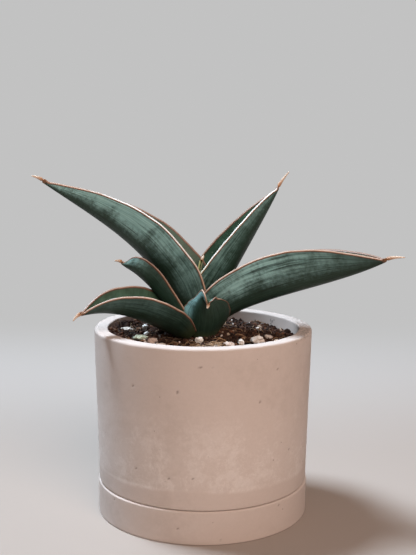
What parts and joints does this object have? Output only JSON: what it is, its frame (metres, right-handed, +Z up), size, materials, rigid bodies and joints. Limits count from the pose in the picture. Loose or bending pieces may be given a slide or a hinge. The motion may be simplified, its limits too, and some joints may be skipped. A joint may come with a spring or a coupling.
{
  "type": "potted snake plant",
  "caption": "Dwarf snake plant with arched, channelled, spine-tipped leaves in a round concrete pot on its own saucer, with gritty potting mix.",
  "frame": {"origin": "centre of the saucer's underside, on the pot's axis, at table level", "axes": "+Z up along the pot's axis; the front is -Y, and the long leaves spread to -X and +X"},
  "size_m": [0.1727, 0.105, 0.1642],
  "materials": {
    "saucer_concrete": "matt cast concrete, blush beige",
    "pot_concrete": "matt cast concrete, blush beige with pale bloom",
    "potting_mix": "damp, fibrous, dark brown",
    "stem": "matt",
    "leaf": "waxy satin, blue-green with brown and white margins",
    "pumice": "matt, porous",
    "perlite": "matt white, porous"
  },
  "bodies": {
    "root": {"saucer": "saucer_concrete", "pot": "pot_concrete", "potting_soil": "potting_mix", "crown_stem": "stem", "leaf_left_long": "leaf", "leaf_left_short": "leaf", "leaf_left_low": "leaf", "leaf_front_small": "leaf", "leaf_right_long": "leaf", "leaf_back_upright": "leaf", "leaf_centre_new": "leaf", "pumice_1": "pumice", "pumice_2": "pumice", "pumice_3": "pumice", "pumice_4": "pumice", "pumice_5": "pumice", "pumice_6": "pumice", "pumice_7": "pumice", "perlite_1": "perlite", "perlite_2": "perlite", "perlite_3": "perlite", "perlite_4": "perlite", "perlite_5": "perlite", "perlite_6": "perlite", "perlite_7": "perlite", "perlite_8": "perlite"}
  },
  "joints": []
}
